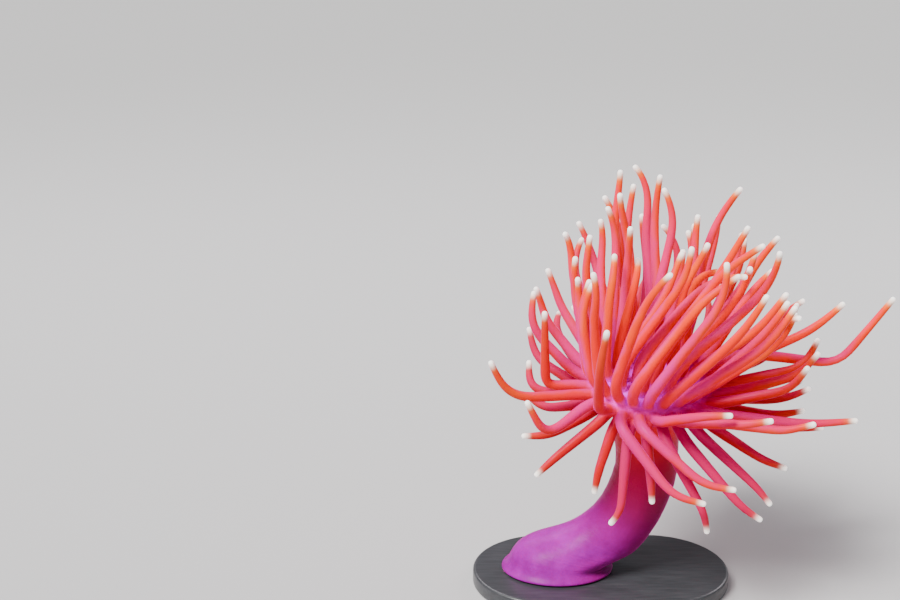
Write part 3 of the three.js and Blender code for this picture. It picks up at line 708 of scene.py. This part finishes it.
def ramp(*stops):
    """A colour ramp from (position, colour) stops."""
    made = tree.nodes.new("ShaderNodeValToRGB")
    elements = made.color_ramp.elements
    while len(elements) < len(stops):
        elements.new(0.5)
    for element, (position, colour) in zip(elements, stops):
        element.position = position
        element.color = (*colour, 1)
    return made


def attribute(name):
    """A value that the skin carries at its corners."""
    made = tree.nodes.new("ShaderNodeAttribute")
    made.attribute_name = name
    return made.outputs["Fac"]


def mixed(factor, first, second):
    """One colour socket mixed into another by a factor socket."""
    made = tree.nodes.new("ShaderNodeMix")
    made.data_type = "RGBA"
    tree.links.new(factor, made.inputs["Factor"])
    tree.links.new(first, made.inputs[MIX_FIRST])
    tree.links.new(second, made.inputs[MIX_SECOND])
    return made.outputs[MIX_RESULT]


def spread(source, low, high, start=0.0, end=1.0, kind="LINEAR"):
    """A value mapped from one range to another, held at the ends."""
    made = node("ShaderNodeMapRange", From_Min=low, From_Max=high, To_Min=start, To_Max=end)
    made.interpolation_type = kind
    tree.links.new(source, made.inputs["Value"])
    return made.outputs["Result"]


def coloured(source, *stops):
    """The colours of a ramp, picked by a value."""
    made = ramp(*stops)
    tree.links.new(source, made.inputs["Fac"])
    return made.outputs["Color"]


def added(*sources):
    """The sum of values."""
    total = sources[0]
    for source in sources[1:]:
        made = tree.nodes.new("ShaderNodeMath")
        tree.links.new(total, made.inputs[0])
        tree.links.new(source, made.inputs[1])
        total = made.outputs["Value"]
    return total


def noise(vector, **values):
    """Noise over a position, around 0.5."""
    made = node("ShaderNodeTexNoise", **values)
    tree.links.new(vector, made.inputs["Vector"])
    return made.outputs["Fac"]


# along goes by the share of a tentacle's length, to_tip is the distance to its tip, and
# height goes up the animal from the foot to the disc
place = tree.nodes.new("ShaderNodeTexCoord").outputs["Object"]
along, height, tint, lit_and_mouth_side, to_tip, low = (
    attribute(name) for name in ("along", "body_height", "tint", "lit_and_mouth_side", "to_tip", "low"))
outer_side = coloured(
    along,
    (0.00, (0.86, 0.001, 0.100)),
    (0.16, (0.88, 0.002, 0.030)),
    (0.40, (0.90, 0.008, 0.006)),
    (0.70, (0.93, 0.024, 0.002)),
    (0.90, (0.95, 0.048, 0.001)),
)
# the pink side's colour: partly painted light on the flesh, partly the mouth side's own pink
lit_and_mouth_side_colour = coloured(
    along,
    (0.00, (0.74, 0.001, 0.38)),
    (0.30, (0.76, 0.001, 0.25)),
    (0.65, (0.80, 0.002, 0.15)),
    (0.90, (0.90, 0.010, 0.05)),
)
patchy = spread(noise(place, Scale=95.0, Detail=2.0), 0.3, 0.7, -PATCH_REACH, PATCH_REACH)
pinkness = spread(added(lit_and_mouth_side, spread(tint, -1, 1, -TINT_REACH, TINT_REACH), patchy), 0.40, 0.90)
glowing_orange = coloured(along, (0.15, (0.92, 0.020, 0.001)), (0.60, (0.95, 0.085, 0.000)))
warm = spread(noise(place, Scale=42.0, Detail=2.0), 0.52, 0.68)
outer_side = mixed(warm, outer_side, glowing_orange)
tentacle_colour = mixed(pinkness, outer_side, lit_and_mouth_side_colour)
# painted shade: the deeper red of the low rows
low_shade_colour = coloured(pinkness, (0.0, (0.44, 0.0004, 0.010)), (1.0, (0.50, 0.0004, 0.07)))
warm_end = coloured(
    spread(to_tip, 6.0, 1.5),
    (0.00, (0.96, 0.050, 0.001)),
    (0.50, (0.97, 0.150, 0.012)),
    (0.80, (0.98, 0.340, 0.120)),
)
tentacle_colour = mixed(spread(to_tip, 7.5, 4.0), tentacle_colour, warm_end)
tentacle_colour = mixed(spread(low, 0, 1, end=LOW_SHADE_SHARE), tentacle_colour, low_shade_colour)
tip_colour = coloured(to_tip, (0.0, (1.00, 0.98, 0.94)), (1.0, (1.00, 0.90, 0.80)))
tip_whiteness = spread(to_tip, 4.2, 0.8, kind="SMOOTHSTEP")
tentacle_colour = mixed(tip_whiteness, tentacle_colour, tip_colour)
# redder and darker from the middle of the column up to the crown: partly the column's own colour,
# partly painted shade under the crown and a painted reflection of the orange tentacles
body_colour = coloured(
    height,
    (0.00, (0.27, 0.001, 0.28)),
    (0.30, (0.31, 0.001, 0.31)),
    (0.45, (0.31, 0.001, 0.21)),
    (0.54, (0.27, 0.001, 0.10)),
    (0.65, (0.28, 0.000, 0.05)),
    (0.74, (0.34, 0.000, 0.03)),
    (0.84, (0.54, 0.000, 0.016)),
    (0.94, (0.88, 0.002, 0.014)),
    (0.97, (0.90, 0.002, 0.22)),
    (1.00, (0.86, 0.004, 0.92)),
)
# painted shade: a darker, redder copy of the column's colours for its underside
underside_shade_colour = coloured(
    height,
    (0.00, (0.24, 0.001, 0.110)),
    (0.45, (0.23, 0.001, 0.080)),
    (0.65, (0.21, 0.000, 0.040)),
    (0.84, (0.45, 0.000, 0.014)),
    (0.94, (0.88, 0.002, 0.014)),
    (0.97, (0.90, 0.002, 0.220)),
    (1.00, (0.86, 0.004, 0.920)),
)
body_colour = mixed(spread(lit_and_mouth_side, 0.10, 0.52), underside_shade_colour, body_colour)
cloudy = spread(noise(place, Scale=120.0, Detail=5.0, Roughness=0.6), 0.28, 0.72)
cloud_colour = coloured(cloudy, (0.0, (0.12, 0.001, 0.09)), (1.0, (0.44, 0.004, 0.44)))
clouded = mixed(spread(height, 0.35, 0.60, CLOUD_SHARE, 0.0), body_colour, cloud_colour)
colour = mixed(spread(along, 0.0, 0.05), clouded, tentacle_colour)
tree.links.new(colour, shader.inputs["Base Color"])

# the tips glow faintly, so that they stay pale in shadow too
tip_glow = coloured(
    spread(added(to_tip, spread(along, 0.0, 0.5, NOT_A_TIP, 0.0)), 2.4, 0.6),
    (0.0, (0.0, 0.0, 0.0)),
    (1.0, (1.0, 0.97, 0.94)),
)
tree.links.new(tip_glow, shader.inputs["Emission Color"])
socket_value(shader, Emission_Strength=0.8)

# fine wrinkles run across the column, and pores cover everything
across_column = tree.nodes.new("ShaderNodeVectorMath")
across_column.operation = "MULTIPLY_ADD"
stack = tree.nodes.new("ShaderNodeCombineXYZ")
tree.links.new(height, stack.inputs["X"])
tree.links.new(stack.outputs["Vector"], across_column.inputs[0])
across_column.inputs[1].default_value = WRINKLES_UP
tree.links.new(place, across_column.inputs[2])
wrinkles = noise(across_column.outputs["Vector"], Scale=1.6, Detail=3.0, Roughness=0.6)
wrinkle_relief = node("ShaderNodeBump", Strength=0.35, Distance=0.0009)
tree.links.new(wrinkles, wrinkle_relief.inputs["Height"])
pores = noise(place, Scale=1100.0, Detail=3.0)
relief = node("ShaderNodeBump", Strength=0.35, Distance=0.0003)
tree.links.new(pores, relief.inputs["Height"])
tree.links.new(wrinkle_relief.outputs["Normal"], relief.inputs["Normal"])
tree.links.new(relief.outputs["Normal"], shader.inputs["Normal"])
gloss = spread(noise(place, Scale=260.0, Detail=2.0), 0.3, 0.7, 0.34, 0.48)
tree.links.new(gloss, shader.inputs["Roughness"])
socket_value(shader, Subsurface_Weight=0.15, Subsurface_Scale=0.003,
             Subsurface_Radius=(1.0, 0.3, 0.3), Specular_IOR_Level=0.06, Coat_Weight=0.02,
             Coat_Roughness=0.22, Sheen_Weight=0.8, Sheen_Roughness=0.28,
             Sheen_Tint=(1.0, 0.02, 0.60, 1))

anemone = new_piece("anemone_skin", skin, flesh)
smoothing = anemone.modifiers.new("smoothing", "SUBSURF")
smoothing.levels = smoothing.render_levels = 1
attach(anemone, "root")
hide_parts(*[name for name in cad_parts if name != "stand_base"])


# ---------------------------------------------------------------- studio
# A plain pale floor that runs out of view on every side. A soft sun from the upper front
# left is the key light, a low lamp in front fills the shadows, and two behind light the
# tentacles' edges. The camera sees a bright surround, which lights the model only dimly.
FLOOR_REACH = 60                      # metres
floor_finish, tree, shader = new_material("studio_floor")
socket_value(shader, Base_Color=(0.48, 0.48, 0.485, 1), Roughness=0.9)
ground = bmesh.new()
bmesh.ops.create_grid(ground, x_segments=1, y_segments=1, size=FLOOR_REACH)
floor = new_piece("studio_floor", ground, floor_finish)

world = bpy.data.worlds.new("studio")
world.use_nodes = True
sky = world.node_tree
dim = socket_value(sky.nodes["Background"], Color=(0.92, 0.94, 1.0, 1), Strength=0.13)
bright = sky.nodes.new("ShaderNodeBackground")
socket_value(bright, Color=(0.96, 0.97, 1.0, 1), Strength=1.0)
seen = sky.nodes.new("ShaderNodeLightPath")
either = sky.nodes.new("ShaderNodeMixShader")
sky.links.new(seen.outputs["Is Camera Ray"], either.inputs["Fac"])
sky.links.new(dim.outputs["Background"], either.inputs[1])
sky.links.new(bright.outputs["Background"], either.inputs[2])
sky.links.new(either.outputs["Shader"], sky.nodes["World Output"].inputs["Surface"])
bpy.context.scene.world = world


def lamp(name, kind, compass, rise, power, colour, distance=1.0, size=0.5):
    """A soft lamp that faces the crown; a sun's size is its angle."""
    data = bpy.data.lights.new(name, kind)
    data.energy = power
    data.color = colour
    if kind == "SUN":
        data.angle = size
    else:
        data.size = size
    light = bpy.data.objects.new(name, data)
    way = Vector(towards(compass, rise))
    light.location = crown + way * distance
    light.rotation_euler = way.to_track_quat("Z", "Y").to_euler()
    bpy.context.scene.collection.objects.link(light)


lamp("key", "SUN", compass=222, rise=54, power=7.4, colour=(1.0, 0.98, 0.96),
     size=math.radians(24))
lamp("front_fill", "AREA", compass=262, rise=20, power=1.3, colour=(1.0, 0.94, 0.97),
     distance=0.8, size=0.5)
lamp("back_left", "AREA", compass=125, rise=40, power=2.5, colour=(1.0, 0.95, 1.0),
     distance=0.8, size=0.35)
lamp("back_right", "AREA", compass=40, rise=30, power=2.5, colour=(1.0, 0.95, 1.0),
     distance=0.8, size=0.35)
